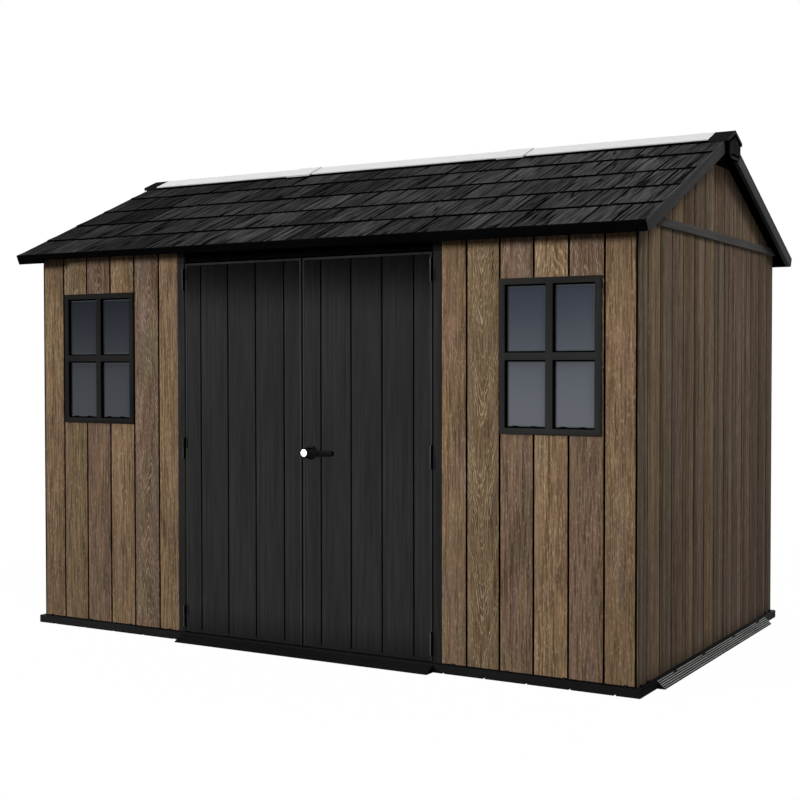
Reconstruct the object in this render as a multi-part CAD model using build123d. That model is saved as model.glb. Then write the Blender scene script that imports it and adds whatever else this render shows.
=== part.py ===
from build123d import *
import os
from math import cos, radians, sin, tan

# Garden shed with plank-faced walls, black double doors on the long side and a shingled gable roof.
# Millimetres, +Z up. The origin is on the ground under the middle of the shed.
# -Y is the front with the doors, +X is the right-hand end as seen from the front.

# Front, from the middle outwards
LEAF_WIDTH = 690.0              # one door leaf
MEETING_GAP = 8.0               # between the two leaves
JAMB_GAP = 5.0                  # between a leaf and its jamb
JAMB_WIDTH = 44.0
FRONT_PANEL_WIDTH = 907.0       # wall panel beside the doors, jamb to corner
SHED_DEPTH = 2044.0             # outside of the front wall to outside of the back wall
BACK_PANEL_WIDTH = 1100.0       # middle panel of the back wall

# Heights, from the ground up
FLOOR_HEIGHT = 38.0
LEAF_FLOOR_GAP = 6.0
LEAF_HEIGHT = 1816.0
LEAF_HEAD_GAP = 6.0
HEADER_HEIGHT = 82.0            # at the outer face, up to the underside of the roof

# Thicknesses
WALL_THICK = 22.0
LEAF_THICK = 30.0
JAMB_DEPTH = 40.0

# Floor and ramps
FLOOR_LEDGE = 21.0              # floor outside the wall faces
RAMP_TOP_DROP = 4.0             # ramp head below the floor's top
RAMP_TOE = 3.0                  # height of the ramp's blunt edge
DOOR_RAMP_REACH = 58.0
DOOR_RAMP_WIDTH = 1418.0
END_RAMP_REACH = 34.0
END_RAMP_LENGTH = 1672.0

# Windows
WINDOW_WIDTH = 468.0            # over the outer flange
WINDOW_HEIGHT = 666.0
WINDOW_CORNER_MARGIN = 157.0    # flange edge to the shed's corner
WINDOW_HEAD_DROP = 219.0        # flange top below the wall top
WINDOW_FLANGE_PROUD = 8.0
WINDOW_FLANGE_LAP = 19.0        # flange over the wall
WINDOW_FRAME_FACE = 28.0        # flange edge to glass
WINDOW_BAR_WIDTH = 33.0
WINDOW_BAR_DEPTH = 16.0         # back from the flange's face
GLASS_THICK = 4.0

# Roof
ROOF_PITCH = 23.82              # degrees
EAVES_OVERHANG = 121.0
RAKE_OVERHANG = 72.0            # end wall face to the barge board's outer face
ROOF_THICK = 36.0
COURSE_COUNT = 5
COURSE_STEP = 10.0              # height of a shingle course's butt
RIDGE_OPENING = 72.0            # between the two slopes, under the skylight
FASCIA_THICK = 14.0
FASCIA_DEPTH = 50.0
BARGE_THICK = 20.0
BARGE_DEPTH = 62.0
SEAM_SPACING = 1280.0           # between the two seams of the roof panels
RAFTER_WIDTH = 30.0
RAFTER_DEPTH = 40.0
RAFTER_RIDGE_GAP = 20.0

# Ridge
RIDGE_HALF_WIDTH = 105.0
RIDGE_RISE = 12.0               # skylight's outer face above the shingle butts
CAP_THICK = 15.0
SKYLIGHT_THICK = 5.0
SKYLIGHT_SEAT_GAP = 0.4         # skylight lip over the shingles
SKYLIGHT_LAP = 148.0            # joint collar along the ridge
SKYLIGHT_LAP_THICK = 4.0
CAP_OVERHANG = 25.0             # ridge cap beyond the barge board
PENDANT_SET_BACK = 3.0          # pendant face behind the cap's front edge
PENDANT_HALF_WIDTH = 88.0
PENDANT_FOOT_HALF_WIDTH = 62.0
PENDANT_CHAMFER = 22.0
PENDANT_DROP = 139.0            # pendant foot below the top of the ridge

# Gables
GABLE_RAIL_HEIGHT = 39.0
GABLE_RAIL_PROUD = 14.0
GABLE_RAIL_DROP = 6.0           # rail foot below the wall top
VENT_HEIGHT = 100.0             # up to the underside of the roof at the ridge
VENT_PROUD = 6.0

# Door hinges
HINGE_HEIGHT = 104.0
HINGE_END_MARGIN = 79.0         # hinge middle from the leaf's top or bottom edge
HINGE_COUNT = 3
HINGE_AXIS_PROUD = 12.0         # pin axis in front of the leaf
KNUCKLE_RADIUS = 6.5
PIN_RADIUS = 4.0
PIN_CLEARANCE = 0.08
KNUCKLE_PLAY = 1.0              # between the fixed and the moving knuckle
HINGE_PLATE_WIDTH = 11.0
HINGE_PLATE_THICK = 4.0

# Door handle
HANDLE_HEIGHT = 909.0           # above the leaf's bottom edge
HANDLE_INSET = 47.0             # from the leaf's meeting edge
ROSETTE_RADIUS = 33.0
ROSETTE_THICK = 10.0
SPINDLE_RADIUS = 8.0
SPINDLE_CLEARANCE = 0.06
HUB_RADIUS = 24.0
HUB_REACH = 60.0                # hub's front in front of the leaf
HUB_PLAY = 0.6                  # between hub and rosette, and spindle and leaf
LEVER_LENGTH = 140.0            # hub axis to the middle of the tip
LEVER_TIP_RADIUS = 12.5
LEVER_ROOT_RADIUS = 19.0
LEVER_THICK = 18.0
LEVER_BACK = 40.0               # lever's back in front of the leaf
LOCK_RADIUS = 17.0
LOCK_THICK = 3.0

# Places worked out from the sizes above
half_opening = MEETING_GAP / 2 + LEAF_WIDTH + JAMB_GAP
panel_start = half_opening + JAMB_WIDTH
half_length = panel_start + FRONT_PANEL_WIDTH
half_depth = SHED_DEPTH / 2
front = -half_depth
leaf_foot = FLOOR_HEIGHT + LEAF_FLOOR_GAP
leaf_head = leaf_foot + LEAF_HEIGHT
header_foot = leaf_head + LEAF_HEAD_GAP
wall_top = header_foot + HEADER_HEIGHT
end_wall_top = wall_top - GABLE_RAIL_DROP
pitch = radians(ROOF_PITCH)
eaves_y = -(half_depth + EAVES_OVERHANG)
eaves_z = wall_top + ROOF_THICK / cos(pitch) - EAVES_OVERHANG * tan(pitch)
roof_end = (-eaves_y - RIDGE_OPENING / 2) / cos(pitch)      # along the slope, from the eaves
course_pitch = roof_end / COURSE_COUNT
barge_outer = half_length + RAKE_OVERHANG
barge_inner = barge_outer - BARGE_THICK
barge_toe = FASCIA_THICK + (BARGE_DEPTH - FASCIA_DEPTH) / tan(pitch)      # end of its level cut
cap_outer = barge_outer + CAP_OVERHANG
seam_x = SEAM_SPACING / 2
hinge_y = front - HINGE_AXIS_PROUD
hinge_x = half_opening - JAMB_GAP / 2
handle_x = MEETING_GAP / 2 + HANDLE_INSET
handle_z = leaf_foot + HANDLE_HEIGHT


def block(x_span, y_span, z_span):
    # Plain box between two places on each axis.
    sizes = [high - low for low, high in (x_span, y_span, z_span)]
    corner = (x_span[0], y_span[0], z_span[0])
    return Pos(*corner) * Box(*sizes, align=(Align.MIN, Align.MIN, Align.MIN))


def prism(outline, x_low, x_high):
    # (y, z) outline drawn out along X.
    face = make_face(Polyline(*outline, close=True))
    return extrude(Plane.YZ.offset(x_low) * face, x_high - x_low)


def rod(radius, length, y_front):
    # Round bar along Y, from its front face backwards, centred on the Y axis.
    bar = Rot(-90, 0, 0) * Cylinder(radius, length, align=(Align.CENTER, Align.CENTER, Align.MIN))
    return Pos(0, y_front, 0) * bar


def on_slope(along, above):
    # (y, z) of a point of the front slope: up the slope from the eaves, and above the shingle butts.
    y = eaves_y + along * cos(pitch) - above * sin(pitch)
    z = eaves_z + along * sin(pitch) + above * cos(pitch)
    return y, z


def over_y(y, above):
    # Height of a line parallel to the roof, taken at a distance from the ridge.
    return eaves_z + (-abs(y) - eaves_y) * tan(pitch) + above / cos(pitch)


def to_back(outline):
    return [(-y, z) for y, z in outline]


def mirrored_x(shape):
    return mirror(shape, about=Plane.YZ)


def shingle_surface(along):
    # Height of the stepped shingles against the line of their butts.
    place_in_course = along % course_pitch
    return -COURSE_STEP * place_in_course / course_pitch


def make_floor():
    reach_x = half_length + FLOOR_LEDGE
    reach_y = half_depth + FLOOR_LEDGE
    return {"floor_panel": block((-reach_x, reach_x), (-reach_y, reach_y), (0, FLOOR_HEIGHT))}


def ramp_outline(start, reach):
    # Wedge section going outwards from the floor's edge, as (outward distance, height).
    head = FLOOR_HEIGHT - RAMP_TOP_DROP
    return [(start, 0), (start + reach, 0), (start + reach, RAMP_TOE), (start, head)]


def make_ramps():
    door_section = [(-out, z) for out, z in ramp_outline(half_depth + FLOOR_LEDGE, DOOR_RAMP_REACH)]
    door_ramp = prism(door_section, -DOOR_RAMP_WIDTH / 2, DOOR_RAMP_WIDTH / 2)
    end_face = make_face(Polyline(*ramp_outline(half_length + FLOOR_LEDGE, END_RAMP_REACH), close=True))
    end_ramp = extrude(Plane.XZ.offset(-END_RAMP_LENGTH / 2) * end_face, END_RAMP_LENGTH)
    return {
        "door_ramp": door_ramp,
        "right_end_ramp": end_ramp,
        "left_end_ramp": mirrored_x(end_ramp),
    }


def front_wall_section(thickness, foot):
    # Upright slab whose top follows the underside of the roof.
    back = front + thickness
    return [(front, foot), (back, foot), (back, over_y(back, -ROOF_THICK)), (front, wall_top)]


def window_places():
    # Window flange as (x span, z span) on the right-hand front wall.
    x_high = half_length - WINDOW_CORNER_MARGIN
    z_high = wall_top - WINDOW_HEAD_DROP
    return (x_high - WINDOW_WIDTH, x_high), (z_high - WINDOW_HEIGHT, z_high)


def shrunk(span, margin):
    return span[0] + margin, span[1] - margin


def make_walls():
    x_span, z_span = window_places()
    hole = block(
        shrunk(x_span, WINDOW_FLANGE_LAP),
        (front, front + WALL_THICK),
        shrunk(z_span, WINDOW_FLANGE_LAP),
    )
    section = front_wall_section(WALL_THICK, FLOOR_HEIGHT)
    front_right = prism(section, panel_start, half_length) - hole
    back_section = to_back(section)
    back_edge = BACK_PANEL_WIDTH / 2
    inner_y = half_depth - WALL_THICK
    end_wall = block(
        (half_length - WALL_THICK, half_length), (-inner_y, inner_y), (FLOOR_HEIGHT, end_wall_top)
    )
    return {
        "front_wall_right": front_right,
        "front_wall_left": mirrored_x(front_right),
        "back_wall_left": prism(back_section, -half_length, -back_edge),
        "back_wall_middle": prism(back_section, -back_edge, back_edge),
        "back_wall_right": prism(back_section, back_edge, half_length),
        "right_end_wall": end_wall,
        "left_end_wall": mirrored_x(end_wall),
    }


def make_gables():
    inner_y = half_depth - WALL_THICK
    edge_z = over_y(inner_y, -ROOF_THICK)
    apex_z = over_y(0, -ROOF_THICK)
    panel_outline = [
        (-inner_y, end_wall_top),
        (inner_y, end_wall_top),
        (inner_y, edge_z),
        (0, apex_z),
        (-inner_y, edge_z),
    ]
    panel = prism(panel_outline, half_length - WALL_THICK, half_length)
    rail_top = end_wall_top + GABLE_RAIL_HEIGHT
    rail_top_y = half_depth - max(0, rail_top - wall_top) / tan(pitch)
    rail_outline = [
        (-half_depth, end_wall_top),
        (half_depth, end_wall_top),
        (half_depth, wall_top),
        (rail_top_y, rail_top),
        (-rail_top_y, rail_top),
        (-half_depth, wall_top),
    ]
    rail = prism(rail_outline, half_length, half_length + GABLE_RAIL_PROUD)
    vent_y = VENT_HEIGHT / tan(pitch)
    vent_outline = [(-vent_y, apex_z - VENT_HEIGHT), (vent_y, apex_z - VENT_HEIGHT), (0, apex_z)]
    vent = prism(vent_outline, half_length, half_length + VENT_PROUD)
    made = {"right_gable": panel, "right_gable_rail": rail, "right_gable_vent": vent}
    for name in list(made):
        made[name.replace("right", "left", 1)] = mirrored_x(made[name])
    return made


def make_door_frame():
    jamb = block((half_opening, panel_start), (front, front + JAMB_DEPTH), (FLOOR_HEIGHT, header_foot))
    header = prism(front_wall_section(JAMB_DEPTH, header_foot), -panel_start, panel_start)
    return {"right_door_jamb": jamb, "left_door_jamb": mirrored_x(jamb), "door_header": header}


def make_windows():
    x_span, z_span = window_places()
    face_y = front - WINDOW_FLANGE_PROUD
    bar_back = face_y + WINDOW_BAR_DEPTH
    wall_back = front + WALL_THICK
    flange = block(x_span, (face_y, front), z_span)
    sleeve = block(
        shrunk(x_span, WINDOW_FLANGE_LAP), (front, wall_back), shrunk(z_span, WINDOW_FLANGE_LAP)
    )
    clear_x = shrunk(x_span, WINDOW_FRAME_FACE)
    clear_z = shrunk(z_span, WINDOW_FRAME_FACE)
    frame = flange + sleeve - block(clear_x, (bar_back, wall_back), clear_z)
    mid_x = sum(clear_x) / 2
    mid_z = sum(clear_z) / 2
    half_bar = WINDOW_BAR_WIDTH / 2
    for pane_x in ((clear_x[0], mid_x - half_bar), (mid_x + half_bar, clear_x[1])):
        for pane_z in ((clear_z[0], mid_z - half_bar), (mid_z + half_bar, clear_z[1])):
            frame -= block(pane_x, (face_y, bar_back), pane_z)
    glass = block(clear_x, (bar_back, bar_back + GLASS_THICK), clear_z)
    return {
        "right_window_frame": frame,
        "right_window_glass": glass,
        "left_window_frame": mirrored_x(frame),
        "left_window_glass": mirrored_x(glass),
    }


def make_roof():
    # The upper side is a saw tooth: each shingle course starts with a butt over the course below.
    steps = []
    for course in range(1, COURSE_COUNT):
        butt = course * course_pitch
        steps += [on_slope(butt, -COURSE_STEP), on_slope(butt, 0)]
    steps.append(on_slope(roof_end, -COURSE_STEP))
    slope = [
        on_slope(FASCIA_THICK, -ROOF_THICK),
        on_slope(FASCIA_THICK, shingle_surface(FASCIA_THICK)),
        *steps,
        on_slope(roof_end, -ROOF_THICK),
    ]
    fascia = [
        on_slope(0, 0),
        on_slope(0, -FASCIA_DEPTH),
        on_slope(FASCIA_THICK, -FASCIA_DEPTH),
        on_slope(FASCIA_THICK, 0),
    ]
    barge = [
        on_slope(FASCIA_THICK, -FASCIA_DEPTH),
        on_slope(FASCIA_THICK, shingle_surface(FASCIA_THICK)),
        *steps,
        (0, over_y(0, -COURSE_STEP)),
        (0, over_y(0, -BARGE_DEPTH)),
        on_slope(barge_toe, -BARGE_DEPTH),
    ]
    made = {}
    for side, turned in (("front", list), ("back", to_back)):
        made[f"{side}_roof_slope"] = prism(turned(slope), -barge_inner, barge_inner)
        made[f"{side}_eaves_fascia"] = prism(turned(fascia), -barge_outer, barge_outer)
        board = prism(turned(barge), barge_inner, barge_outer)
        made[f"{side}_right_barge_board"] = board
        made[f"{side}_left_barge_board"] = mirrored_x(board)
    return made


def make_rafters():
    # Steel tubes under the two seams of the roof panels, from the walls to just short of the ridge.
    foot_y = {"front": front + JAMB_DEPTH, "back": front + WALL_THICK}
    top_y = -RAFTER_RIDGE_GAP / 2
    rafters = []
    for side, turned in (("front", list), ("back", to_back)):
        outline = [
            (foot_y[side], over_y(foot_y[side], -ROOF_THICK)),
            (foot_y[side], over_y(foot_y[side], -ROOF_THICK - RAFTER_DEPTH)),
            (top_y, over_y(top_y, -ROOF_THICK - RAFTER_DEPTH)),
            (top_y, over_y(top_y, -ROOF_THICK)),
        ]
        for x in (-seam_x, seam_x):
            rafters.append(prism(turned(outline), x - RAFTER_WIDTH / 2, x + RAFTER_WIDTH / 2))
    return {"roof_rafters": Part() + rafters}


def chevron(outer, inner):
    # Inverted V section over the ridge, between two heights above the shingle butts.
    low = RIDGE_HALF_WIDTH
    return [
        (-low, over_y(low, inner)),
        (-low, over_y(low, outer)),
        (0, over_y(0, outer)),
        (low, over_y(low, outer)),
        (low, over_y(low, inner)),
        (0, over_y(0, inner)),
    ]


def ridge_length(thickness, x_low, x_high):
    # Length of ridge cover with a lip along each lower edge that comes down to the shingles.
    low = RIDGE_HALF_WIDTH
    lip = low - thickness
    inner = RIDGE_RISE - thickness
    seat = shingle_surface((-eaves_y - low) / cos(pitch))
    outline = [
        (-low, over_y(low, seat) + SKYLIGHT_SEAT_GAP),
        (-low, over_y(low, inner)),
        (-lip, over_y(lip, inner)),
        (-lip, over_y(lip, seat) + SKYLIGHT_SEAT_GAP),
    ]
    cover = prism(chevron(RIDGE_RISE, inner), x_low, x_high)
    for lip_outline in (outline, to_back(outline)):
        cover += prism(lip_outline, x_low, x_high)
    return cover


def make_ridge():
    # Three lengths of skylight, the middle one lapping over its neighbours, and a cap at each end.
    middle = ridge_length(SKYLIGHT_THICK, -seam_x, seam_x)
    collar = chevron(RIDGE_RISE + SKYLIGHT_LAP_THICK, RIDGE_RISE)
    for x in (-seam_x, seam_x):
        middle += prism(collar, x - SKYLIGHT_LAP / 2, x + SKYLIGHT_LAP / 2)
    right = ridge_length(SKYLIGHT_THICK, seam_x, half_length)
    cap_under = RIDGE_RISE - CAP_THICK
    foot = over_y(0, RIDGE_RISE) - PENDANT_DROP
    half_pendant = [
        (-PENDANT_FOOT_HALF_WIDTH, foot),
        (-PENDANT_HALF_WIDTH, foot + PENDANT_CHAMFER),
        (-PENDANT_HALF_WIDTH, over_y(PENDANT_HALF_WIDTH, cap_under)),
    ]
    pendant = half_pendant + [(0, over_y(0, cap_under))] + to_back(half_pendant)[::-1]
    cap = ridge_length(CAP_THICK, half_length, barge_outer)
    cap += prism(chevron(RIDGE_RISE, cap_under), barge_outer, cap_outer)
    cap += prism(pendant, barge_outer, cap_outer - PENDANT_SET_BACK)
    return {
        "ridge_skylight_middle": middle,
        "ridge_skylight_right": right,
        "ridge_skylight_left": mirrored_x(right),
        "right_ridge_cap": cap,
        "left_ridge_cap": mirrored_x(cap),
    }


def hinge_middles():
    low = leaf_foot + HINGE_END_MARGIN
    high = leaf_head - HINGE_END_MARGIN
    return [low + (high - low) * step / (HINGE_COUNT - 1) for step in range(HINGE_COUNT)]


def upright(radius, z_low, z_high):
    # Round bar on the right-hand hinge axis.
    bar = Cylinder(radius, z_high - z_low, align=(Align.CENTER, Align.CENTER, Align.MIN))
    return Pos(hinge_x, hinge_y, z_low) * bar


def fixed_hinge(middle):
    # Lower knuckle with its pin and its plate on the jamb.
    z_low = middle - HINGE_HEIGHT / 2
    z_high = middle - KNUCKLE_PLAY / 2
    plate_x = (half_opening, half_opening + HINGE_PLATE_WIDTH)
    plate = block(plate_x, (front - HINGE_PLATE_THICK, front), (z_low, z_high))
    web = block((hinge_x, hinge_x + KNUCKLE_RADIUS), (hinge_y, front), (z_low, z_high))
    pin = upright(PIN_RADIUS, z_low, middle + HINGE_HEIGHT / 2)
    return plate + web + upright(KNUCKLE_RADIUS, z_low, z_high) + pin


def moving_hinge(middle):
    # Upper knuckle, bored for the pin, with its plate on the leaf.
    z_low = middle + KNUCKLE_PLAY / 2
    z_high = middle + HINGE_HEIGHT / 2
    leaf_edge = half_opening - JAMB_GAP
    plate_x = (leaf_edge - HINGE_PLATE_WIDTH, leaf_edge)
    plate = block(plate_x, (front - HINGE_PLATE_THICK, front), (z_low, z_high))
    web = block((hinge_x - KNUCKLE_RADIUS, hinge_x), (hinge_y, front), (z_low, z_high))
    sleeve = plate + web + upright(KNUCKLE_RADIUS, z_low, z_high)
    return sleeve - upright(PIN_RADIUS + PIN_CLEARANCE, z_low, z_high)


def make_doors():
    leaf = block(
        (MEETING_GAP / 2, half_opening - JAMB_GAP), (front, front + LEAF_THICK), (leaf_foot, leaf_head)
    )
    pins = Part() + [fixed_hinge(middle) for middle in hinge_middles()]
    sleeves = Part() + [moving_hinge(middle) for middle in hinge_middles()]
    return {
        "right_door_leaf": leaf,
        "left_door_leaf": mirrored_x(leaf),
        "right_hinge_pins": pins,
        "left_hinge_pins": mirrored_x(pins),
        "right_door_hinges": sleeves,
        "left_door_hinges": mirrored_x(sleeves),
    }


def make_handle():
    place = Pos(handle_x, 0, handle_z)
    rosette = rod(ROSETTE_RADIUS, ROSETTE_THICK, front - ROSETTE_THICK)
    rosette -= rod(SPINDLE_RADIUS + SPINDLE_CLEARANCE, ROSETTE_THICK, front - ROSETTE_THICK)
    hub_back = front - ROSETTE_THICK - HUB_PLAY
    hub_front = front - HUB_REACH
    hub = rod(HUB_RADIUS, hub_back - hub_front, hub_front)
    spindle = rod(SPINDLE_RADIUS, ROSETTE_THICK, hub_back)
    arm = make_face(
        Polyline(
            (0, -LEVER_ROOT_RADIUS),
            (LEVER_LENGTH, -LEVER_TIP_RADIUS),
            (LEVER_LENGTH, LEVER_TIP_RADIUS),
            (0, LEVER_ROOT_RADIUS),
            close=True,
        )
    )
    outline = arm + Pos(LEVER_LENGTH, 0) * Circle(LEVER_TIP_RADIUS)
    lever = extrude(Plane.XZ.offset(LEVER_BACK - front) * outline, LEVER_THICK)
    lock = rod(LOCK_RADIUS, LOCK_THICK, hub_front - LOCK_THICK)
    return {
        "handle_rosette": place * rosette,
        "handle_lever": place * (hub + spindle + lever),
        "lock_face": place * lock,
    }


makers = (
    make_floor,
    make_ramps,
    make_walls,
    make_gables,
    make_door_frame,
    make_windows,
    make_roof,
    make_rafters,
    make_ridge,
    make_doors,
    make_handle,
)

os.makedirs("parts", exist_ok=True)
for maker in makers:
    for name, shape in maker().items():
        export_step(shape, f"parts/{name}.step")
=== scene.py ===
import math
import random
import bmesh
import bpy
from mathutils import Matrix, Vector


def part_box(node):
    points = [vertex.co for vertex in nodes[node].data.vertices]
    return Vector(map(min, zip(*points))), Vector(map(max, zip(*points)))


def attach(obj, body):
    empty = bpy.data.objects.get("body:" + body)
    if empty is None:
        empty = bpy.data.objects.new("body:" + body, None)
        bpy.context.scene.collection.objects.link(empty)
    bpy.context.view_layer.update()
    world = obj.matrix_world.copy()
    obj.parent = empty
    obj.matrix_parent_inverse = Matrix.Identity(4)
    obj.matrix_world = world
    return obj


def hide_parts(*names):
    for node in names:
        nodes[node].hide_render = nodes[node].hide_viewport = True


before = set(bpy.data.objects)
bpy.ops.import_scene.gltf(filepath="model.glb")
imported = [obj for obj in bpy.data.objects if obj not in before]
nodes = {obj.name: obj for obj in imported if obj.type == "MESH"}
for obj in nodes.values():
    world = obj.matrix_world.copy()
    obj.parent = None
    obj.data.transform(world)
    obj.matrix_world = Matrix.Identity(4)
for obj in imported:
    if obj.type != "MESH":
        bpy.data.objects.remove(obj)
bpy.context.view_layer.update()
print("frame:", len(nodes), "nodes")

# Places read from the frame, in metres
frontLow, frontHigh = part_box("front_wall_right")
faceY, cornerX, jambEdge = frontLow.y, frontHigh.x, frontLow.x
wallThick = frontHigh.y - faceY
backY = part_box("back_wall_left")[1].y
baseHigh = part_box("floor_panel")[1]
baseTop = baseHigh.z
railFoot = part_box("right_gable_rail")[0].z
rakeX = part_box("front_right_barge_board")[1].x
eaveCorner = min((v.co for v in nodes["front_eaves_fascia"].data.vertices), key=lambda co: co.y)
roofUnder = max(nodes["front_roof_slope"].data.polygons, key=lambda face: face.area)
roofPitch = math.atan2(abs(roofUnder.normal.y), abs(roofUnder.normal.z))
roofThick = abs((roofUnder.center - eaveCorner).dot(roofUnder.normal))
upSlope = Vector((0, math.cos(roofPitch), math.sin(roofPitch)))
roofTopCorner = max((v.co for v in nodes["front_roof_slope"].data.vertices), key=lambda co: co.y)
slopeLength = (roofTopCorner - eaveCorner).dot(upSlope)
wallTop = frontHigh.z - wallThick * math.tan(roofPitch)
signs = {"left": -1, "right": 1, "front": 1, "back": -1}     # ends along x; the back is the front turned round
tiny = 1e-6     # nearer than this counts as touching

# A wall's own frame: x along the wall as seen from outside, y inwards from its face, z up
wallFrames = {
    "front": Matrix.Translation((0, faceY, 0)),
    "right": Matrix.Translation((cornerX, 0, 0)) @ Matrix.Rotation(math.pi / 2, 4, "Z"),
    "back": Matrix.Translation((0, backY, 0)) @ Matrix.Rotation(math.pi, 4, "Z"),
    "left": Matrix.Translation((-cornerX, 0, 0)) @ Matrix.Rotation(-math.pi / 2, 4, "Z"),
}
# A roof slope's own frame: x along the eaves, y up the slope, z out of it
frontSlope = Matrix.Translation((0, eaveCorner.y, eaveCorner.z)) @ Matrix.Rotation(roofPitch, 4, "X")
slopeFrames = {"front": frontSlope, "back": Matrix.Rotation(math.pi, 4, "Z") @ frontSlope}


class Field:  # a shader value that Python arithmetic can build on
    def __init__(self, shader, socket):
        self.shader = shader
        self.socket = socket

    def maths(self, operation, *values):
        return self.shader.node("ShaderNodeMath", {"operation": operation}, dict(enumerate(values)))

    def __add__(self, other):
        return self.maths("ADD", self, other)

    def __sub__(self, other):
        return self.maths("SUBTRACT", self, other)

    def __rsub__(self, other):
        return self.maths("SUBTRACT", other, self)

    def __mul__(self, other):
        return self.maths("MULTIPLY", self, other)

    def __pow__(self, other):
        return self.maths("POWER", self, other)

    def __abs__(self):
        return self.maths("ABSOLUTE", self)

    def ripple(self, length):  # waves of that length, between 0 and 1
        return self.maths("SINE", self * (2 * math.pi / length)) * 0.5 + 0.5

    __radd__ = __add__
    __rmul__ = __mul__


class Shader:  # node tree of a material or the world
    def __init__(self, owner):
        owner.use_nodes = True
        self.owner = owner
        self.tree = owner.node_tree
        self.tree.nodes.clear()

    def node(self, kind, settings=None, inputs=None, output=0):
        made = self.tree.nodes.new(kind)
        for key, value in (settings or {}).items():
            if key == "stops":
                self.fillRamp(made.color_ramp, value)
            else:
                setattr(made, key, value)
        for key, value in (inputs or {}).items():
            if isinstance(value, Field):
                self.tree.links.new(value.socket, made.inputs[key])
            else:
                made.inputs[key].default_value = value
        return Field(self, made.outputs[output]) if made.outputs else made

    def fillRamp(self, ramp, stops):
        while len(ramp.elements) < len(stops):
            ramp.elements.new(1.0)
        for element, (place, colour) in zip(ramp.elements, stops):
            element.position = place
            element.color = colour

    def mix(self, factor, first, second):
        return self.node("ShaderNodeMix", {"data_type": "RGBA"}, {0: factor, 6: first, 7: second}, 2)

    def tinted(self, colour, tint):
        settings = {"data_type": "RGBA", "blend_type": "MULTIPLY"}
        return self.node("ShaderNodeMix", settings, {0: 1.0, 6: colour, 7: tint}, 2)

    def scaled(self, colour, factor):
        return self.node("ShaderNodeVectorMath", {"operation": "SCALE"}, {0: colour, "Scale": factor})

    def vector(self, x, y, z):
        return self.node("ShaderNodeCombineXYZ", None, {0: x, 1: y, 2: z})

    def parts(self, vector):
        split = self.node("ShaderNodeSeparateXYZ", None, {0: vector})
        outputs = split.socket.node.outputs
        return [Field(self, outputs[axis]) for axis in range(3)]

    def noise(self, vector, detail, roughness):
        inputs = {"Vector": vector, "Scale": 1.0, "Detail": detail, "Roughness": roughness}
        return self.node("ShaderNodeTexNoise", {"noise_dimensions": "3D"}, inputs)

    def grain(self, board, wide, long, place, detail=2.0, roughness=0.5):
        # Noise over a board: scales per metre across and along it, and a place of its own
        across, along, shift = board
        return self.noise(self.vector(across * wide, along * long, shift + place), detail, roughness)

    def grains(self, board, layers):
        return {name: self.grain(board, *numbers) for name, numbers in layers.items()}

    def speckle(self, scales, detail=2.0, roughness=0.5):
        # Noise over the object, with its scales per metre along x, y and z
        place = [part * scale for part, scale in zip(self.objectPlace(), scales)]
        return self.noise(self.vector(*place), detail, roughness)

    def smooth(self, value, low, high):
        inputs = {"Value": value, "From Min": low, "From Max": high}
        return self.node("ShaderNodeMapRange", {"interpolation_type": "SMOOTHSTEP"}, inputs)

    def attribute(self, name):
        return self.node("ShaderNodeAttribute", {"attribute_name": name}, None, "Fac")

    def boardPlace(self):  # across and along a board, from its own UV map
        across, along, _ = self.parts(self.node("ShaderNodeUVMap", {"uv_map": "grain"}))
        return across, along

    def objectPlace(self):
        return self.parts(self.node("ShaderNodeTexCoord", None, None, "Object"))

    def bump(self, height, strength, distance):
        inputs = {"Height": height, "Strength": strength, "Distance": distance}
        return self.node("ShaderNodeBump", None, inputs)

    def surface(self, **inputs):
        named = {key.replace("_", " "): value for key, value in inputs.items()}
        shader = self.node("ShaderNodeBsdfPrincipled", None, named)
        self.node("ShaderNodeOutputMaterial", None, {"Surface": shader})
        return self.owner


boardLayers = ("boardSeed", "boardTone", "boardFigure", "boardCast", "boardPlain")


def newMaterial(name):
    return Shader(bpy.data.materials.new(name))


def rgb(red, green, blue):
    return (red, green, blue, 1.0)


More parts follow.
